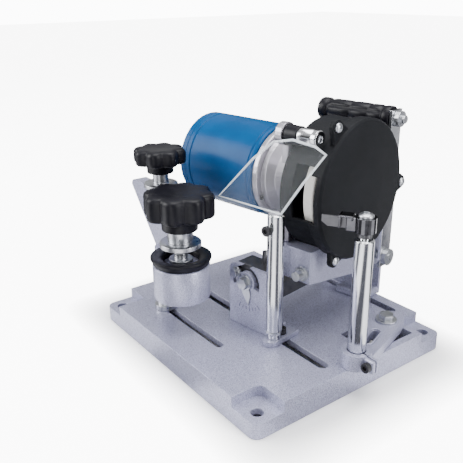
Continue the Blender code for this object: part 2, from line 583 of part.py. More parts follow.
def ear_lug(name, swing, y, z):
    """A rounded lug reaching from the cover's rim out to a screw."""
    away = math.atan2(z - AXIS_Z, y)
    reach = math.hypot(z - AXIS_Z, y)
    inner = COVER_R - 2.0
    side = 6.5
    outline = [(inner * 0.985, -side - 5)] + arc(reach, 0, side, -80, 80, 6) + [(inner * 0.985, side + 5)]
    turn = [(a * math.cos(away) - b * math.sin(away), a * math.sin(away) + b * math.cos(away))
            for a, b in outline]
    lug = plate(name, None, swing, turn, 4.0, (73.5, 0, AXIS_Z), UPRIGHT_Y)
    return lug


def build_rest(swing):
    """The short chromed bar on the ear above the neck."""
    at = (0, REST_Y, REST_Z)
    turned("rest_bar", "chrome", swing, "X",
           [(0, 63), (3.2, 63), (3.2, 66), (REST_R - 0.8, 66), (REST_R, 65.2), (REST_R, 45), (REST_R + 0.9, 44.5),
            (REST_R + 0.9, 33), (4, 33), (4, 30), (0, 30)], at, 20)


# ---------------------------------------------------------------- front post and shield
def build_post(head):
    """The post stands on its own foot in the front slot, beside the head."""
    slide = empty("post_slide", head, (POST_X, POST_Y, DECK))
    outline = [(34, -46)] + arc(POST_X, -77.5, 7.5, 180, 360, 6) + [(49, -46)]
    foot = plate("post_foot", "hammer_grey", slide, outline, 4.7, (0, 0, DECK + 2.35), FLAT)
    cut(foot,
        rod("foot_bore", None, slide, "Z", 2.8, 20, 40, (42, -62.5), SMALL),
        rod("post_bore", None, slide, "Z", 4.3, 20, 40, (POST_X, POST_Y), SMALL))
    socket_screw("post_foot_screw", slide, "Z", 4.2, 5.5, 2.5, 16, (42, -62.5, DECK + 4.7 + GAP))
    turned("front_post", "chrome", slide, "Z",
           [(0, POST_TOP), (POST_R - 1, POST_TOP), (POST_R, POST_TOP - 1), (POST_R, 38), (5.5, 38), (5.5, 35),
            (6, 35), (6, DECK + 5), (4, DECK + 5), (4, DECK + 0.5), (0, DECK + 0.5)],
           (POST_X, POST_Y, 0), 20)
    build_shield(slide)


def build_shield(slide):
    """A clear sheet standing in front of the wheel, on a tab screwed to the post."""
    outline = [(x - POST_X, up) for x, up in SHIELD_OUTLINE]
    sheet = plate("clear_shield", "clear", slide, outline, SHIELD_T, (POST_X, SHIELD_Y, SHIELD_Z),
                  (math.pi / 2 - SHIELD_LEAN, 0, 0))
    front = POST_Y - POST_R - GAP
    half = 6.0
    join(sheet,
         block("shield_tab", None, slide, (POST_X - half, front - 3, 129), (POST_X + half, front, 154.5)),
         block("shield_bridge", None, slide, (POST_X - half, front - 1, 151.5), (POST_X + half, -74.5, 154.5)))
    cut(sheet, rod("tab_bore", None, slide, "Y", 2.3, -90, -76, (POST_X, 137), SMALL))
    socket_screw("shield_screw", slide, "Y", 4.6, 2.8, 2.0, 2.9, (POST_X, front - 3 - GAP, 137), True)


# ---------------------------------------------------------------- tooth stop
def build_stop():
    arm_axis = empty("stop_turn", None, (BOLT_X, BOLT_Y, DECK))
    outline = arc(BOSS_X, BOSS_Y, 12.5, 200, 380, 8) + [(112, 70)] + arc(97, 72, 13, 10, 170, 6) + [(88, 40)]
    arm = plate("stop_arm", "hammer_grey", arm_axis, outline, 9.4, (0, 0, DECK + 4.7), FLAT)
    join(arm, rod("stop_boss", None, arm_axis, "Z", BOSS_R + 2.4, DECK, 40, (BOSS_X, BOSS_Y)),
         block("boss_lug", None, arm_axis, (BOSS_X + 9, BOSS_Y - 4, 27), (BOSS_X + 22, BOSS_Y + 4, 39), 1.0))
    cut(arm,
        rod("stop_bore", None, arm_axis, "Z", STOP_R + GAP, 20, 50, (BOSS_X, BOSS_Y)),
        block("boss_split", None, arm_axis, (BOSS_X + 4, BOSS_Y - 0.8, 20), (BOSS_X + 27, BOSS_Y + 0.8, 50)),
        rod("arm_bolt_bore", None, arm_axis, "Z", 4.3, 20, 50, (BOLT_X, BOLT_Y), SMALL),
        rod("lug_bore", None, arm_axis, "Y", 2.8, BOSS_Y - 9, BOSS_Y + 9, (BOSS_X + 17.2, 33), SMALL))
    lean = math.atan2(BOLT_Y - BOSS_Y, BOLT_X - BOSS_X)
    slot = [(along * math.cos(lean) - side * math.sin(lean), along * math.sin(lean) + side * math.cos(lean))
            for along, side in arc(44, 0, 3.5, -90, 90, 5) + arc(24, 0, 3.5, 90, 270, 5)]
    cut(arm, plate("arm_slot", None, arm_axis, slot, 30.0, (BOSS_X, BOSS_Y, 30), FLAT))
    socket_screw("boss_screw", arm_axis, "Y", 4.3, 4.4, 2.5, 7.5, (BOSS_X + 17.2, BOSS_Y - 4 - GAP, 33), True)
    hex_bolt("stop_arm_bolt", arm_axis, (BOLT_X, BOLT_Y, DECK + 9.4 + GAP), 7.0, 5.0, 10.0, 4.0, 26, "Z", False)
    clamp = block("clamp_plate", "zinc", arm_axis, (BOLT_X - 17, BOLT_Y - 9, 13), (BOLT_X + 17, BOLT_Y + 9, 18.7))
    cut(clamp, rod("clamp_bore", None, arm_axis, "Z", 4.3, 10, 22, (BOLT_X, BOLT_Y), SMALL))
    build_finger(arm_axis)


def build_finger(arm_axis):
    lift = empty("stop_lift", arm_axis, (BOSS_X, BOSS_Y, 26))
    turned("stop_post", "chrome", lift, "Z",
           [(0, 157), (4, 157), (4, STOP_TOP), (STOP_R - 1, STOP_TOP), (STOP_R, STOP_TOP - 1), (STOP_R, 26), (0, 26)],
           (BOSS_X, BOSS_Y, 0), 20)
    finger_axis = empty("finger_turn", lift, (BOSS_X, BOSS_Y, STOP_TOP))
    ring("stop_spring", "steel_dark", finger_axis, "Z", 5.6, 4.3, STOP_TOP + GAP, 146.7, (BOSS_X, BOSS_Y), SMALL)
    bracket = rod("finger_bracket", "zinc", finger_axis, "Z", 8.5, 147, 159.5, (BOSS_X, BOSS_Y), 20)
    facing = math.atan2(TIP_Y - BOSS_Y, TIP_X - BOSS_X)
    along = Vector((math.cos(facing), math.sin(facing), 0))
    centre = Vector((BOSS_X, BOSS_Y, FINGER_Z)) + along * 9.0
    jaw = block("finger_jaw", None, finger_axis, centre - Vector((6, 4, 5.8)), centre + Vector((6, 4, 5.8)),
                0.6, facing)
    join(bracket, jaw)
    middle = centre + along * 2.5
    half = Vector((6.5, 1.3, FINGER_H / 2 + 0.3))
    slot = block("finger_slot", None, finger_axis, middle - half, middle + half, 0, facing)
    cut(bracket, slot,
        rod("bracket_bore", None, finger_axis, "Z", 4.5, 140, 157.4, (BOSS_X, BOSS_Y), SMALL))
    reach = math.hypot(TIP_X - BOSS_X, TIP_Y - BOSS_Y)
    half = FINGER_H / 2
    outline = [(6, -half), (reach - 5, -half), (reach, -half + 3.5), (reach, half), (6, half)]
    plate("stop_finger", "steel_dark", finger_axis, outline, 2.0, (BOSS_X, BOSS_Y, FINGER_Z),
          (math.pi / 2, 0, facing))


def build():
    clear_scene()
    build_base()
    build_seat()
    head = empty("head_frame", None, (0, HEAD_Y, 0), HEAD_YAW)
    carriage = empty("head_slide", head, (0, 0, 0))
    ANCHOR["head_slide"] = Vector()
    build_supports(carriage)
    tilt = build_tilt(carriage)
    build_tilt_bolts(carriage, tilt)
    swing = build_swing(tilt)
    build_motor(swing)
    build_wheel(swing)
    build_guard(swing)
    build_rest(swing)
    build_post(head)
    build_stop()


build()
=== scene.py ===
import json
import math

import bmesh
import bpy
from mathutils import Matrix, Vector


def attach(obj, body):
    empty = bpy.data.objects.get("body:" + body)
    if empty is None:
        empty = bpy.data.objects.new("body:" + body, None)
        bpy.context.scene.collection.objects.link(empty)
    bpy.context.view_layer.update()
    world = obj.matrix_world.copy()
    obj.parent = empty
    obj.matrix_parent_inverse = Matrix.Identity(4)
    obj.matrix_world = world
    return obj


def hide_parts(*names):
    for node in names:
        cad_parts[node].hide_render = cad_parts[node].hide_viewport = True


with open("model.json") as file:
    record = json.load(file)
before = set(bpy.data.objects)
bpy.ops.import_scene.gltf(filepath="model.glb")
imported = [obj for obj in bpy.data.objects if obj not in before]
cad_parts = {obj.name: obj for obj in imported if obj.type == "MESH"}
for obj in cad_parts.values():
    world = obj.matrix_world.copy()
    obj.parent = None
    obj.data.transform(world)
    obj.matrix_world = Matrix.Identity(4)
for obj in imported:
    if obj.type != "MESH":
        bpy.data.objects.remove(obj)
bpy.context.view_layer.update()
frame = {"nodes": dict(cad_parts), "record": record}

# Lengths below are in millimetres unless a name says otherwise; MM turns them into metres.
MM = 0.001
YAW = math.radians(9.0)
HEAD = Matrix.Translation((0.0, 0.031, 0.0)) @ Matrix.Rotation(YAW, 4, "Z")

# Places shared with the CAD model: down to ARM_TOP they are on the plate, the rest are in the head's frame.
SEAT = (-24.0, -83.0)
LOCK = (-80.0, -68.0)
STOP = (122.5, -2.5)
FINGER_TIP = (92.6, -21.2)
ARM_BOLT = (98.6, 64.0)
ARM_TOP = 35.4
POST = (41.5, -73.0)
AXIS_Z = 161.0
REST_BAR = (0, -49, 212.5)
GRIP = (0, 63, 214)
TILT_PIVOT = (4, 72)
BRACKET_FRONT = -70.0
SHIELD_FOOT = (-76, 151.5)
SHIELD_LEAN = math.radians(82)
SHIELD_OUTLINE = [(-24, 0), (49, 0), (67.5, 29.5), (86, 56), (75, 60.5), (52.5, 62.5), (33, 58), (13, 41)]


# ---------------------------------------------------------------- shader nodes
def maths(tree, kind, a, b=None):
    """A Math node; each operand is a number or an output socket."""
    made = tree.nodes.new("ShaderNodeMath")
    made.operation = kind
    for place, value in ((0, a), (1, b)):
        if isinstance(value, float):
            made.inputs[place].default_value = value
        elif value is not None:
            tree.links.new(value, made.inputs[place])
    return made.outputs[0]


def ranged(tree, source, low, high, a=0.0, b=1.0, kind="LINEAR"):
    """A Map Range node that takes low..high to a..b."""
    made = tree.nodes.new("ShaderNodeMapRange")
    made.interpolation_type = kind
    for key, value in (("From Min", low), ("From Max", high), ("To Min", a), ("To Max", b)):
        made.inputs[key].default_value = value
    tree.links.new(source, made.inputs["Value"])
    return made.outputs["Result"]


def blended(tree, factor, a, b):
    """A Mix node for numbers; a is a socket and b a number."""
    made = tree.nodes.new("ShaderNodeMix")
    tree.links.new(factor, made.inputs[0])
    tree.links.new(a, made.inputs[2])
    made.inputs[3].default_value = b
    return made.outputs[0]


def compass(tree, coordinates):
    """The X, Y and Z outputs of a direction, and its angle round the Z axis."""
    split = tree.nodes.new("ShaderNodeSeparateXYZ")
    tree.links.new(coordinates, split.inputs[0])
    return split.outputs, maths(tree, "ARCTAN2", split.outputs["Y"], split.outputs["X"])


# ---------------------------------------------------------------- node materials
class Mat:
    """A node material with helpers; every texture is in object space, in metres."""

    def __init__(self, name):
        self.mat = bpy.data.materials.new(name)
        self.mat.use_nodes = True
        self.tree = self.mat.node_tree
        self.bsdf = self.tree.nodes["Principled BSDF"]
        self.space = self.node("ShaderNodeTexCoord").outputs["Object"]

    def node(self, kind, **values):
        made = self.tree.nodes.new(kind)
        for key, value in values.items():
            if key in made.inputs:
                made.inputs[key].default_value = value
            else:
                setattr(made, key, value)
        return made

    def wire(self, source, target):
        self.tree.links.new(source, target)
        return source

    def set(self, **values):
        for key, value in values.items():
            self.bsdf.inputs[key.replace("_", " ")].default_value = value
        return self

    def noise(self, scale, detail=4.0, rough=0.55, stretch=None):
        made = self.node("ShaderNodeTexNoise", Scale=scale, Detail=detail, Roughness=rough)
        self.wire(self.stretched(stretch), made.inputs["Vector"])
        return made.outputs["Fac"]

    def stretched(self, stretch):
        if not stretch:
            return self.space
        made = self.node("ShaderNodeMapping")
        made.inputs["Scale"].default_value = stretch
        self.wire(self.space, made.inputs["Vector"])
        return made.outputs["Vector"]

    def cells(self, scale, feature="F1"):
        made = self.node("ShaderNodeTexVoronoi", Scale=scale)
        made.feature = feature
        self.wire(self.space, made.inputs["Vector"])
        return made

    def ramp(self, source, low, high, a=0.0, b=1.0):
        return ranged(self.tree, source, low, high, a, b)

    def mix(self, factor, a, b):
        made = self.node("ShaderNodeMix", data_type="RGBA")
        for place, value in ((6, a), (7, b)):
            if isinstance(value, tuple):
                made.inputs[place].default_value = (*value, 1.0)
            else:
                self.wire(value, made.inputs[place])
        self.wire(factor, made.inputs[0])
        return made.outputs[2]

    def bump(self, source, distance, strength=1.0, under=None):
        made = self.node("ShaderNodeBump")
        made.inputs["Distance"].default_value = distance
        made.inputs["Strength"].default_value = strength
        self.wire(source, made.inputs["Height"])
        if under is not None:
            self.wire(under, made.inputs["Normal"])
        return made.outputs["Normal"]

    def edge(self, radius):
        made = self.node("ShaderNodeBevel")
        made.samples = 6
        made.inputs["Radius"].default_value = radius
        return made.outputs["Normal"]

    def colour(self, source):
        self.wire(source, self.bsdf.inputs["Base Color"])
        return self

    def rough(self, source):
        self.wire(source, self.bsdf.inputs["Roughness"])
        return self

    def normal(self, source):
        self.wire(source, self.bsdf.inputs["Normal"])
        return self


def hammer_grey():
    m = Mat("hammer_grey").set(Metallic=0.35, Coat_Weight=0.22, Coat_Roughness=0.22)
    cells = m.cells(620.0, "SMOOTH_F1")
    dents = m.ramp(cells.outputs["Distance"], 0.0, 0.75)
    flake = m.ramp(m.noise(1500.0, 3.0, 0.8), 0.4, 0.64)
    cloud = m.noise(60.0, 3.0)
    base = m.mix(flake, (0.15, 0.152, 0.225), (0.56, 0.57, 0.76))
    m.colour(m.mix(m.ramp(cloud, 0.3, 0.75, 0.0, 0.35), base, (0.31, 0.312, 0.42)))
    m.rough(m.ramp(flake, 0.0, 1.0, 0.42, 0.27))
    return m.normal(m.bump(dents, 0.00022, 0.5, m.edge(0.0011))).mat


def motor_blue():
    m = Mat("motor_blue").set(Metallic=0.0, Specular_IOR_Level=0.12, Coat_Weight=0.02, Coat_Roughness=0.2)
    peel = m.noise(900.0, 2.0)
    tone = m.ramp(m.noise(35.0, 3.0), 0.3, 0.7)
    m.colour(m.mix(tone, (0.0, 0.047, 0.155), (0.0, 0.058, 0.185)))
    m.rough(m.ramp(peel, 0.3, 0.7, 0.34, 0.42))
    return m.normal(m.bump(peel, 0.00004, 0.5, m.edge(0.0012))).mat


def charcoal():
    m = Mat("charcoal").set(Metallic=0.0, Specular_IOR_Level=0.16)
    grain = m.noise(2600.0, 3.0, 0.65)
    tone = m.ramp(m.noise(45.0, 4.0), 0.3, 0.75)
    m.colour(m.mix(tone, (0.0028, 0.0034, 0.005), (0.0052, 0.006, 0.0085)))
    m.rough(m.ramp(grain, 0.3, 0.7, 0.5, 0.64))
    return m.normal(m.bump(grain, 0.00008, 0.6, m.edge(0.0014))).mat


def black_plastic():
    m = Mat("black").set(Metallic=0.0, Specular_IOR_Level=0.2)
    grain = m.noise(2000.0, 2.0)
    wear = m.ramp(m.noise(70.0, 4.0), 0.35, 0.75)
    m.colour(m.mix(wear, (0.0022, 0.0022, 0.0045), (0.0048, 0.0046, 0.0085)))
    m.rough(m.ramp(wear, 0.0, 1.0, 0.36, 0.47))
    return m.normal(m.bump(grain, 0.00005, 0.4, m.edge(0.0012))).mat


def black_steel():
    m = Mat("black_steel").set(Metallic=0.75)
    tone = m.noise(700.0, 4.0)
    m.colour(m.mix(tone, (0.02, 0.02, 0.023), (0.06, 0.06, 0.066)))
    m.rough(m.ramp(tone, 0.3, 0.7, 0.3, 0.45))
    return m.normal(m.bump(tone, 0.00003, 0.5, m.edge(0.0004))).mat


def chrome():
    m = Mat("chrome").set(Metallic=1.0)
    haze = m.noise(120.0, 5.0)
    fine = m.noise(2400.0, 2.0)
    m.colour(m.mix(haze, (0.66, 0.67, 0.70), (0.8, 0.81, 0.83)))
    m.rough(m.ramp(haze, 0.3, 0.8, 0.1, 0.2))
    return m.normal(m.bump(fine, 0.00001, 0.4, m.edge(0.0007))).mat


def zinc():
    m = Mat("zinc").set(Metallic=1.0)
    cloud = m.noise(240.0, 5.0)
    fine = m.noise(1800.0, 3.0)
    m.colour(m.mix(cloud, (0.38, 0.395, 0.43), (0.62, 0.63, 0.65)))
    m.rough(m.ramp(cloud, 0.3, 0.75, 0.26, 0.4))
    return m.normal(m.bump(fine, 0.00003, 0.4, m.edge(0.0005))).mat


def cast_alu():
    m = Mat("alu").set(Metallic=0.9)
    sand = m.noise(1300.0, 4.0, 0.6)
    tone = m.noise(40.0, 3.0)
    m.colour(m.mix(tone, (0.42, 0.405, 0.45), (0.58, 0.56, 0.61)))
    m.rough(m.ramp(sand, 0.3, 0.7, 0.3, 0.44))
    return m.normal(m.bump(sand, 0.0001, 0.5, m.edge(0.0012))).mat


def clear_sheet():
    m = Mat("clear").set(Metallic=0.0, Transmission_Weight=0.0, IOR=1.3, Specular_IOR_Level=0.3)
    haze = m.noise(150.0, 4.0)
    facing = m.node("ShaderNodeLayerWeight")
    facing.inputs["Blend"].default_value = 0.35
    m.colour(m.mix(haze, (0.6, 0.64, 0.68), (0.75, 0.78, 0.8)))
    m.rough(m.ramp(haze, 0.3, 0.8, 0.03, 0.1))
    m.wire(m.ramp(facing.outputs["Facing"], 0.6, 1.0, 0.03, 0.35), m.bsdf.inputs["Alpha"])
    return m.normal(m.bump(haze, 0.00002, 0.2)).mat


def clear_edge():
    m = Mat("clear_edge").set(Metallic=0.0, Specular_IOR_Level=0.6)
    haze = m.noise(400.0, 3.0)
    m.colour(m.mix(haze, (0.72, 0.79, 0.86), (0.95, 0.97, 1.0)))
    m.rough(m.ramp(haze, 0.3, 0.7, 0.08, 0.2))
    m.wire(m.ramp(haze, 0.3, 0.7, 0.4, 0.6), m.bsdf.inputs["Alpha"])
    return m.normal(m.bump(haze, 0.00002, 0.3)).mat


def abrasive():
    m = Mat("abrasive").set(Metallic=0.0)
    grit = m.cells(2100.0)
    tone = m.noise(1500.0, 3.0)
    m.colour(m.mix(tone, (0.33, 0.32, 0.3), (0.74, 0.73, 0.7)))
    m.rough(m.ramp(tone, 0.3, 0.7, 0.75, 0.95))
    return m.normal(m.bump(grit.outputs["Distance"], 0.0003, 0.8)).mat


def steel_dark():
    m = Mat("steel_dark").set(Metallic=0.85)
    tone = m.noise(160.0, 5.0)
    fine = m.noise(1500.0, 3.0)
    m.colour(m.mix(tone, (0.07, 0.07, 0.078), (0.16, 0.16, 0.17)))
    m.rough(m.ramp(tone, 0.3, 0.7, 0.32, 0.48))
    return m.normal(m.bump(fine, 0.00005, 0.5, m.edge(0.0008))).mat


def copper():
    m = Mat("copper").set(Metallic=0.8)
    turns = m.noise(500.0, 2.0, 0.5, (0.1, 1.0, 1.0))
    m.colour(m.mix(turns, (0.36, 0.15, 0.06), (0.62, 0.3, 0.14)))
    m.rough(m.ramp(turns, 0.3, 0.7, 0.3, 0.5))
    return m.normal(m.bump(turns, 0.0001, 0.6)).mat


def bronze():
    m = Mat("bronze").set(Metallic=0.9)
    tone = m.noise(500.0, 4.0)
    m.colour(m.mix(tone, (0.16, 0.1, 0.05), (0.3, 0.2, 0.11)))
    m.rough(m.ramp(tone, 0.3, 0.7, 0.32, 0.5))
    return m.normal(m.bump(tone, 0.00003, 0.5, m.edge(0.0004))).mat


def dark_chrome():
    m = Mat("dark_chrome").set(Metallic=1.0)
    haze = m.noise(140.0, 5.0)
    m.colour(m.mix(haze, (0.05, 0.05, 0.055), (0.16, 0.16, 0.175)))
    m.rough(m.ramp(haze, 0.3, 0.8, 0.1, 0.24))
    return m.normal(m.bump(m.noise(1800.0, 2.0), 0.00002, 0.4, m.edge(0.0006))).mat


FLOOR_BANDS = 5.0
PAINTED_SHADE_SPREAD = (7.2, 9.0)
FLOOR_GLOW = 8.0


def floor_mat():
    """White paper; it glows to the eye away from the object, so the dimmer floor near the object is a painted
    soft shade round it, and shiny metal sees soft dark bands in it.
    """
    m = Mat("floor").set(Specular_IOR_Level=0.1)
    tree = m.tree
    tone = m.noise(4.0, 3.0)
    place, bearing = compass(tree, m.space)
    bands = maths(tree, "SINE", maths(tree, "MULTIPLY", bearing, FLOOR_BANDS))
    paths = m.node("ShaderNodeLightPath")
    mirrored = m.mix(m.ramp(bands, -0.5, 0.3), (0.05, 0.05, 0.06), (0.95, 0.95, 0.97))
    white = m.mix(tone, (0.93, 0.93, 0.935), (0.95, 0.95, 0.955))
    m.colour(m.mix(paths.outputs["Is Glossy Ray"], white, mirrored))
    m.rough(m.ramp(tone, 0.3, 0.7, 0.62, 0.7))
    # The glow fades out towards the object, which paints a soft shade on the floor round it.
    across, along = [maths(tree, "MULTIPLY", maths(tree, "ABSOLUTE", place[axis]), spread)
                     for axis, spread in zip("XY", PAINTED_SHADE_SPREAD)]
    painted_shade_ramp = m.ramp(maths(tree, "SMOOTH_MAX", across, along), 0.98, 1.35)
    m.bsdf.inputs["Emission Color"].default_value = (1.0, 1.0, 1.0, 1.0)
    glow = maths(tree, "MULTIPLY", maths(tree, "POWER", painted_shade_ramp, 1.6), paths.outputs["Is Camera Ray"])
    m.wire(maths(tree, "MULTIPLY", glow, FLOOR_GLOW), m.bsdf.inputs["Emission Strength"])
    return m.mat


LOOKS = {
    "hammer_grey": hammer_grey(), "motor_blue": motor_blue(), "charcoal": charcoal(),
    "black": black_plastic(), "black_steel": black_steel(), "chrome": chrome(), "zinc": zinc(),
    "alu": cast_alu(), "clear": clear_sheet(), "abrasive": abrasive(), "steel_dark": steel_dark(),
    "copper": copper(),
}
BRONZE = bronze()
DARK_CHROME = dark_chrome()
DARK_CHROME_NODES = ("finger", "finger_bracket")


def dress(part):
    """Gives a CAD node the finish of its record slot, on the object rather than on its mesh."""
    node = frame["nodes"][part["node"]]
    if not node.material_slots:
        node.data.materials.append(None)
    for slot in node.material_slots:
        slot.link = "OBJECT"
        slot.material = DARK_CHROME if part["node"] in DARK_CHROME_NODES else LOOKS[part["material_slot"]]


for subpart in frame["record"]["subparts"]:
    dress(subpart)


# ---------------------------------------------------------------- helpers for new pieces
ALONG = {
    "X": Matrix.Rotation(math.pi / 2, 4, "Y"),
    "Z": Matrix.Identity(4),
}


def new_object(name, data, matrix=None):
    obj = bpy.data.objects.new(name, data)
    bpy.context.scene.collection.objects.link(obj)
    if matrix is not None:
        obj.matrix_world = matrix
    return obj


def mesh_object(name, bm, matrix=None):
    mesh = bpy.data.meshes.new(name)
    bm.to_mesh(mesh)
    bm.free()
    return new_object(name, mesh, matrix)


def finish_piece(obj, body, slot, look=None, head=True, smooth=40.0):
    """Gives a piece its material, which is its own look or else the look named by slot, and its body; head
    says that it was made in the head's frame.
    """
    obj.data.materials.append(look or LOOKS[slot])
    if head:
        obj.matrix_world = HEAD @ obj.matrix_world
    if obj.type == "MESH":
        obj.data.shade_smooth()
        obj.data.set_sharp_from_angle(angle=math.radians(smooth))
    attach(obj, body)
    return obj


def moved(x, y, z):
    return Matrix.Translation(Vector((x, y, z)) * MM)


def spun(name, axis, profile, at, steps=48):
    """A solid of revolution; profile runs (radius, place along the axis) from top to bottom."""
    bm = bmesh.new()
    points = [bm.verts.new((r * MM, 0.0, a * MM)) for r, a in profile]
    edges = [bm.edges.new(pair) for pair in zip(points, points[1:])]
    if profile[0][0] > 0:
        edges.append(bm.edges.new((points[-1], points[0])))
    bmesh.ops.spin(bm, geom=points + edges, cent=(0, 0, 0), axis=(0, 0, 1), angle=2 * math.pi,
                   steps=steps, use_merge=True)
    bmesh.ops.remove_doubles(bm, verts=bm.verts, dist=1e-6)
    bmesh.ops.recalc_face_normals(bm, faces=bm.faces)
    return mesh_object(name, bm, moved(*at) @ ALONG[axis])


def stand_in(node, axis, profile, at, body, slot, head=True, name=None):
    """A smooth turned piece shown in place of the CAD node of the same shape."""
    piece = finish_piece(spun(name or node + "_fine", axis, profile, at, 96), body, slot, head=head)
    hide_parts(node)


def ring(bm, count, z, radius):
    """Points round the Z axis at height z; radius is a function of the angle."""
    turns = [2 * math.pi * k / count for k in range(count)]
    return [bm.verts.new((radius(t) * math.cos(t) * MM, radius(t) * math.sin(t) * MM, z * MM)) for t in turns]


def skin(bm, rings):
    """Joins each ring of points to the next with four-sided faces."""
    for one, two in zip(rings, rings[1:]):
        for k, start in enumerate(one):
            n = (k + 1) % len(one)
            bm.faces.new((start, one[n], two[n], two[k]))


def box(name, low, high, bevel):
    """A block with rounded edges between two corners."""
    low, high = Vector(low), Vector(high)
    bm = bmesh.new()
    bmesh.ops.create_cube(bm, size=1.0)
    bmesh.ops.scale(bm, vec=(high - low) * MM, verts=bm.verts)
    bmesh.ops.bevel(bm, geom=bm.edges[:], offset=bevel * MM, segments=2, affect="EDGES")
    return mesh_object(name, bm, moved(*((low + high) / 2)))


def line(name, points, closed=True, **settings):
    """A poly curve through points, with the curve's own settings for its thickness."""
    curve = bpy.data.curves.new(name, "CURVE")
    curve.dimensions = "3D"
    for key, value in settings.items():
        setattr(curve, key, value)
    spline = curve.splines.new("POLY")
    spline.points.add(len(points) - 1)
    for point, place in zip(spline.points, points):
        point.co = (*(Vector(place) * MM), 1.0)
    spline.use_cyclic_u = closed
    return new_object(name, curve)


def thread(name, radius, low, high, pitch, across, body):
    """Rounded thread crests along a stud."""
    profile = [(radius - 0.9, high)]
    for k in range(int((high - low) / pitch)):
        top = high - k * pitch
        profile += [(radius, top - pitch * 0.35), (radius, top - pitch * 0.6)]
        profile += [(radius - 0.7, top - pitch * 0.97)]
    profile += [(radius - 1.5, profile[-1][1]), (radius - 1.5, high)]
    finish_piece(spun(name, "Z", profile, (*across, 0)), body, "zinc", head=False, smooth=25)


def pan_screw(name, at, radius, height, body, slot, look=None, axis="X", head=True):
    """A domed screw head with a round recess in its crown."""
    recess = 0.42 * radius
    profile = [(0.0, height * 0.55), (recess, height * 0.55), (recess, height * 0.98)]
    for step in range(1, 7):
        turn = step * math.pi / 12
        if radius * math.sin(turn) > radius * 0.44:
            profile.append((radius * math.sin(turn), height * (0.35 + 0.65 * math.cos(turn))))
    profile += [(radius, 0.0), (0.0, 0.0)]
    finish_piece(spun(name, axis, profile, at, 28), body, slot, look, head)


# ---------------------------------------------------------------- blade seat
KNOB_LOBES = 8
KNOB_STEPS = 192


def star_knob(node, radius, low, mid, top, hub, across, body):
    """Soft lobes over a round hub: one closed skin with rounded edges."""
    def lobed(inset):
        return lambda t: radius * (0.85 + 0.15 * (0.5 + 0.5 * math.cos(KNOB_LOBES * t)) ** 0.62) - inset

    def plain(size):
        return lambda t: size

    bm = bmesh.new()
    edge = [(4.5, mid), (1.6, mid + 0.5), (0.3, mid + 2.0), (0.0, mid + 4.0), (0.0, top - 5.0),
            (0.35, top - 3.0), (1.4, top - 1.3), (3.2, top - 0.35), (6.0, top)]
    crown = [(top, 0.55 * radius), (top - 0.25, 0.5 * radius)]
    stem = [(mid, hub * 1.12), (mid - 2.5, hub), (low, hub * 0.97)]
    rings = [ring(bm, KNOB_STEPS, z, lobed(inset)) for inset, z in edge]
    rings += [ring(bm, KNOB_STEPS, z, plain(size)) for z, size in crown]
    under = [ring(bm, KNOB_STEPS, z, plain(size)) for z, size in stem]
    rings = under[::-1] + rings
    skin(bm, rings)
    bm.faces.new(rings[-1])
    bm.faces.new(list(reversed(rings[0])))
    bmesh.ops.recalc_face_normals(bm, faces=bm.faces)
    obj = mesh_object(node + "_fine", bm, moved(*across, 0))
    finish_piece(obj, body, "black", head=False, smooth=50)
    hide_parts(node)


CUP = [(25.2, 90.5), (26.1, 90.2), (26.6, 89.5), (26.6, 59.5), (26.2, 58.2), (25.0, 57.5), (6.3, 57.5),
       (6.3, 90.5)]
CONE = [(27.2, 98.5), (28.1, 98.3), (28.4, 97.7), (28.4, 96.4), (27.8, 95.2), (25.5, 90.8), (17, 90.8),
        (17, 95.5), (17.6, 96.4), (19, 97.2)]
WASHER = [(18.6, 112.2), (19.2, 111.7), (19.2, 108.0), (18.6, 107.5), (6.3, 107.5), (6.3, 112.2)]
SLEEVE = [(11.4, 124.2), (11.8, 123.8), (11.8, 114.2), (11.2, 113.4), (11.2, 112.9), (11.6, 112.5),
          (6.3, 112.5), (6.3, 124.2)]
LOCK_FOOT = 147.8
LOCK_SLEEVE = [(7.1, 14.4), (7.5, 14.0), (7.5, 4.6), (7.9, 4.2), (15.9, 4), (16.5, 3.5), (16.5, 0.5), (16, 0),
               (5, 0), (5, 14.4)]


def seat_details():
    at = (*SEAT, 0)
    stand_in("blade_cup", "Z", CUP, at, "seat_arm_body", "hammer_grey", head=False)
    stand_in("cone_ring", "Z", CONE, at, "seat_arm_body", "black", head=False)
    stand_in("arbor_washer", "Z", WASHER, at, "arbor_clamp", "zinc", head=False)
    stand_in("arbor_sleeve", "Z", SLEEVE, at, "arbor_clamp", "zinc", head=False)
    thread("arbor_thread", 6.25, 96.0, 107.4, 1.9, SEAT, "seat_arm_body")
    raised = [(r, LOCK_FOOT + z) for r, z in LOCK_SLEEVE]
    stand_in("lock_sleeve", "Z", raised, (*LOCK, 0), "lock_clamp", "zinc", head=False)
    star_knob("arbor_knob", 32.5, 124.5, 136.5, 159.5, 17.0, SEAT, "arbor_knob_body")
    star_knob("lock_knob", 25.5, 162.5, 171.3, 186.3, 13.0, LOCK, "lock_knob_body")


# ---------------------------------------------------------------- posts and shield
FRONT_POST = [(0, 149.7), (6.3, 149.7), (7.5, 148.5), (7.5, 39), (6.6, 38), (5.5, 38), (5.5, 35.2), (6, 35),
              (6, 30.3), (4, 30.3), (4, 25.8), (0, 25.8)]
STOP_POST = [(0, 157), (3.7, 157), (4, 156.5), (4, 141), (6.8, 141), (8, 139.8), (8, 27), (7.2, 26), (0, 26)]
POST_NUT = [(5.6, 38), (7.4, 37.6), (7.4, 35.4), (5.6, 35.0)]


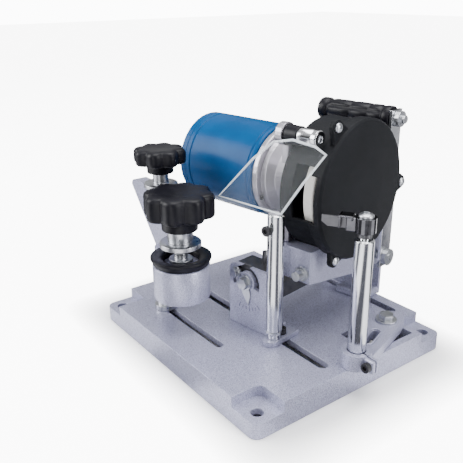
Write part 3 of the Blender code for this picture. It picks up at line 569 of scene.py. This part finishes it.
def post_details():
    at = (*POST, 0)
    stand_in("front_post", "Z", FRONT_POST, at, "post", "chrome")
    stand_in("stop_post", "Z", STOP_POST, (*STOP, 0), "stop_post_body", "chrome", head=False)
    finish_piece(spun("post_nut", "Z", POST_NUT, at, 6), "post", "zinc", smooth=20)
    pan_screw("finger_screw", (*STOP, 159.6), 6.2, 3.4, "finger", "zinc", axis="Z", head=False)
    front, foot = SHIELD_FOOT
    path = [(x, front + up * math.cos(SHIELD_LEAN), foot + up * math.sin(SHIELD_LEAN))
            for x, up in SHIELD_OUTLINE]
    rim = line("shield_rim", path, bevel_depth=1.1 * MM, bevel_resolution=2)
    finish_piece(rim, "post", "clear", clear_edge())


# ---------------------------------------------------------------- swinging head
MOTOR = [(42.6, -14.0), (44.2, -14.6), (45, -16.2), (45, -18.6), (44.3, -19.2), (44.3, -20.4), (45, -21),
         (45, -96), (44.3, -96.6), (44.3, -97.8), (45, -98.4), (45, -103.7), (42, -103.7), (42, -14.0)]
WHEEL = [(54.2, 65), (55, 64.2), (55, 55.8), (54.2, 55), (6.3, 55), (6.3, 65)]
REST_SLEEVE = [(8.0, 47), (8.4, 46.6), (8.4, 33.4), (8.0, 33), (4, 33), (4, 47)]
REST_ROD = [(0, 63), (3.2, 63), (3.4, 66), (6.6, 66), (7.5, 65.1), (7.5, 61.4), (6.9, 60.8), (6.9, 60.2),
            (7.4, 59.6), (7.4, 47), (4, 47), (4, 30), (0, 30)]
GUARD_EARS = ((-33.0, 103.5), (70.0, 153.0), (-39.0, 222.0))
FLANGE_SCREW_CIRCLE = 40.2
FLANGE_SCREW_TURNS = (205, 335, 95)
SEAM_TURN = math.radians(-122)


def head_details():
    at = (0, 0, AXIS_Z)
    stand_in("motor_body", "X", MOTOR, at, "swing_head", "motor_blue")
    stand_in("grinding_wheel", "X", WHEEL, at, "wheel_body", "abrasive")
    finish_piece(spun("rest_sleeve", "X", REST_SLEEVE, REST_BAR, 64), "swing_head", "black")
    stand_in("rest_bar", "X", REST_ROD, REST_BAR, "swing_head", "chrome", name="rest_rod")
    for number, (y, z) in enumerate(GUARD_EARS):
        pan_screw(f"guard_screw_{number}", (75.6, y, z), 4.2, 3.0, "swing_head", "zinc")
    pan_screw("box_screw", (62.1, 52, 105), 3.6, 2.4, "swing_head", "steel_dark", BRONZE)
    for number, degrees in enumerate(FLANGE_SCREW_TURNS):
        turn = math.radians(degrees)
        place = (-7.9, FLANGE_SCREW_CIRCLE * math.cos(turn), AXIS_Z + FLANGE_SCREW_CIRCLE * math.sin(turn))
        pan_screw(f"flange_screw_{number}", place, 2.3, 1.8, "swing_head", "black_steel")
    seam = box("motor_seam", (-96, -0.6, -0.5), (-21, 0.6, 0.5), 0.2)
    seam.matrix_world = moved(0, 0, AXIS_Z) @ Matrix.Rotation(SEAM_TURN, 4, "X") @ moved(-58.5, 45.1, 0)
    finish_piece(seam, "swing_head", "zinc")


GRIP_GROOVES = 6
# Along the grip: place, radius, and how deep the grooves between the finger panels are there.
GRIP_ROWS = [(-14.0, 6.0, 0), (-14.0, 9.0, 0), (-13.2, 10.4, 0), (-11.5, 11.0, 0), (-6.0, 11.0, 0),
             (-4.4, 10.4, 0), (-3.6, 9.4, 0), (-2.4, 9.3, 0), (-1.0, 10.2, 0.6), (1.0, 10.7, 1.4),
             (14.0, 10.9, 1.5), (21.5, 10.7, 1.2), (23.0, 9.9, 0.3), (24.5, 10.7, 1.2), (33.0, 10.9, 1.5),
             (41.5, 10.7, 1.2), (43.0, 9.9, 0.3), (44.5, 10.7, 1.2), (53.0, 10.8, 1.4), (55.0, 10.3, 0.6),
             (56.4, 9.3, 0), (57.4, 9.4, 0), (58.4, 10.4, 0), (59.6, 10.8, 0), (64.6, 10.8, 0),
             (65.6, 10.2, 0), (66.0, 8.5, 0), (66.0, 6.0, 0)]


def moulded_grip():
    """The hand grip: a rounded end, long finger panels cut by grooves, and a collar at the strap."""
    def grooved(size, groove):
        return lambda t: size - groove * (0.5 + 0.5 * math.cos(GRIP_GROOVES * t)) ** 5

    bm = bmesh.new()
    rings = [ring(bm, 96, along, grooved(size, groove)) for along, size, groove in GRIP_ROWS]
    skin(bm, rings + rings[:1])
    bmesh.ops.recalc_face_normals(bm, faces=bm.faces)
    obj = mesh_object("grip_moulded", bm, moved(*GRIP) @ ALONG["X"])
    finish_piece(obj, "swing_head", "black")
    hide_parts("handle_grip")


# ---------------------------------------------------------------- tilt bracket
POINTER = [(-1.0, 65.5), (9.0, 65.5), (10.5, 60), (8.2, 50.5), (7.4, 50.5), (1.0, 60)]
TICKS = 7
TICK_STEP = 9
TICK_CIRCLE = 26.5


def bracket_details():
    """The tilt lock's pointer, and the plain scale that it points at."""
    pointer = line("tilt_pointer", [(x, z, 0) for x, z in POINTER], dimensions="2D", fill_mode="BOTH",
                   extrude=0.45 * MM)
    pointer.matrix_world = moved(0, BRACKET_FRONT - 0.75, 0) @ Matrix.Rotation(math.pi / 2, 4, "X")
    finish_piece(pointer, "tilt_body", "zinc")
    x, z = TILT_PIVOT
    for number in range(TICKS):
        turn = math.radians(-90 + (number - TICKS // 2) * TICK_STEP + 10)
        out, up = TICK_CIRCLE * math.cos(turn), TICK_CIRCLE * math.sin(turn)
        half = 2.4 if number % 3 == 0 else 1.5
        tick = box(f"tilt_tick_{number}", (-half, -0.08, -0.22), (half, 0.08, 0.22), 0.04)
        tick.matrix_world = moved(x + out, BRACKET_FRONT - 0.05, z + up) @ Matrix.Rotation(-turn, 4, "Y")
        finish_piece(tick, "head_carriage", "black_steel")


# ---------------------------------------------------------------- tooth stop
SLOT_ENDS = (24, 44)
LIP_RADIUS = 4.9
CLIP = (("clip_top", (9.5, -5.4, 158.6), (20.5, 5.4, 160.1)),
        ("clip_back", (18.9, -5.6, 149.4), (20.9, 5.6, 160.1)),
        ("clip_lip", (9.3, -5.6, 156.2), (11.0, 5.6, 160.1)))


def arm_details():
    """A raised lip round the stop arm's long slot."""
    boss = Vector(STOP)
    along = (Vector(ARM_BOLT) - boss).normalized()
    across = Vector((-along.y, along.x))
    near, far = [boss + along * end for end in SLOT_ENDS]
    path = []
    for centre, start in ((far, -90), (near, 90)):
        for k in range(13):
            turn = math.radians(start + 15 * k)
            place = centre + along * (LIP_RADIUS * math.cos(turn)) + across * (LIP_RADIUS * math.sin(turn))
            path.append((place.x, place.y, ARM_TOP))
    lip = line("arm_lip", path, bevel_depth=0.8 * MM, bevel_resolution=2)
    finish_piece(lip, "stop_arm_body", "hammer_grey", head=False)


def finger_clip():
    """The folded clip that grips the finger beside its post."""
    along = Vector(FINGER_TIP) - Vector(STOP)
    facing = Matrix.Rotation(math.atan2(along.y, along.x), 4, "Z")
    for name, low, high in CLIP:
        piece = box(name, low, high, 0.5)
        piece.matrix_world = moved(*STOP, 0) @ facing @ piece.matrix_world
        finish_piece(piece, "finger", "steel_dark", DARK_CHROME, head=False)


def spring_details(radius=5.0, turns=3.5, low=142.1, high=146.2, steps_per_turn=28):
    """The small coil between the stop post and the finger's bracket."""
    count = int(turns * steps_per_turn)
    path = []
    for k in range(count + 1):
        turn = 2 * math.pi * turns * k / count
        path.append((radius * math.cos(turn), radius * math.sin(turn), low + (high - low) * k / count))
    coil = line("spring_coil", path, closed=False, bevel_depth=0.65 * MM, bevel_resolution=3,
                use_fill_caps=True)
    coil.matrix_world = moved(*STOP, 0)
    finish_piece(coil, "finger", "steel_dark", head=False)
    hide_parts("stop_spring")


seat_details()
post_details()
head_details()
moulded_grip()
bracket_details()
arm_details()
finger_clip()
spring_details()


# ---------------------------------------------------------------- floor, light and camera
def lay_floor(size=6.0, drop=0.0002):
    """A wide floor just under the plate; both lengths are in metres."""
    bm = bmesh.new()
    bmesh.ops.create_grid(bm, x_segments=1, y_segments=1, size=size)
    ground = mesh_object("ground", bm)
    ground.location = (0, 0, -drop)
    ground.data.materials.append(floor_mat())


# Each softbox: name, place and size in metres, and power in watts.
SOFTBOXES = (("top_light", (0.1, 0.1, 1.5), (1.2, 1.2), 36.0),
             ("left_light", (-0.9, -1.1, 0.8), (0.9, 1.0), 30.0),
             ("right_light", (1.5, 0.5, 0.7), (0.5, 1.1), 22.0),
             ("front_strip", (0.75, -1.2, 0.5), (0.15, 1.0), 6.0))
LIGHT_AIM = (0.0, 0.0, 0.1)


def softbox(name, at, size, power):
    data = bpy.data.lights.new(name, "AREA")
    data.shape = "RECTANGLE"
    data.size, data.size_y = size
    data.energy = power
    obj = new_object(name, data)
    obj.location = at
    obj.rotation_euler = (Vector(LIGHT_AIM) - Vector(at)).to_track_quat("-Z", "Y").to_euler()


WORLD_BANDS = 5.0
WORLD_SEEN = 12.0
WORLD_OVERHEAD = 0.75


def studio_world():
    """White to the eye; what shiny metal mirrors has soft dark bands between bright walls."""
    world = bpy.data.worlds.new("studio")
    world.use_nodes = True
    tree = world.node_tree
    direction = tree.nodes.new("ShaderNodeTexCoord").outputs["Generated"]
    place, bearing = compass(tree, direction)
    bands = maths(tree, "SINE", maths(tree, "MULTIPLY", bearing, WORLD_BANDS))
    walls = ranged(tree, bands, -0.35, 0.25, 0.05, 0.62, "SMOOTHSTEP")
    height = maths(tree, "SMOOTH_MIN", maths(tree, "ABSOLUTE", place["Z"]), 1.0)
    mirrored = blended(tree, ranged(tree, height, 0.35, 0.8), walls, WORLD_OVERHEAD)
    seen = tree.nodes.new("ShaderNodeLightPath").outputs["Is Camera Ray"]
    back = tree.nodes["Background"]
    back.inputs["Color"].default_value = (0.985, 0.99, 1.0, 1.0)
    tree.links.new(blended(tree, seen, mirrored, WORLD_SEEN), back.inputs["Strength"])
    bpy.context.scene.world = world


CAMERA_AT = (0.4316, -0.3651, 0.3288)
CAMERA_AZIMUTH = math.radians(53.75)
CAMERA_ELEVATION = math.radians(20.94)
CAMERA_ROLL = math.radians(-0.56)
CAMERA_LENS = 49.1
CAMERA_SHIFT = (0.0114, -0.0076)


def set_camera():
    """The camera looks at the object from its right front corner, slightly above."""
    level = math.cos(CAMERA_ELEVATION)
    forward = Vector((-math.sin(CAMERA_AZIMUTH) * level, math.cos(CAMERA_AZIMUTH) * level,
                      -math.sin(CAMERA_ELEVATION)))
    side = Vector((math.cos(CAMERA_AZIMUTH), math.sin(CAMERA_AZIMUTH), 0.0))
    above = side.cross(forward)
    right = math.cos(CAMERA_ROLL) * side + math.sin(CAMERA_ROLL) * above
    up = math.cos(CAMERA_ROLL) * above - math.sin(CAMERA_ROLL) * side
    data = bpy.data.cameras.new("camera")
    data.sensor_width = 36.0
    data.lens = CAMERA_LENS
    data.shift_x, data.shift_y = CAMERA_SHIFT
    turn = Matrix((right, up, -forward)).transposed().to_4x4()
    bpy.context.scene.camera = new_object("camera", data, Matrix.Translation(CAMERA_AT) @ turn)


lay_floor()
for light in SOFTBOXES:
    softbox(*light)
studio_world()
set_camera()
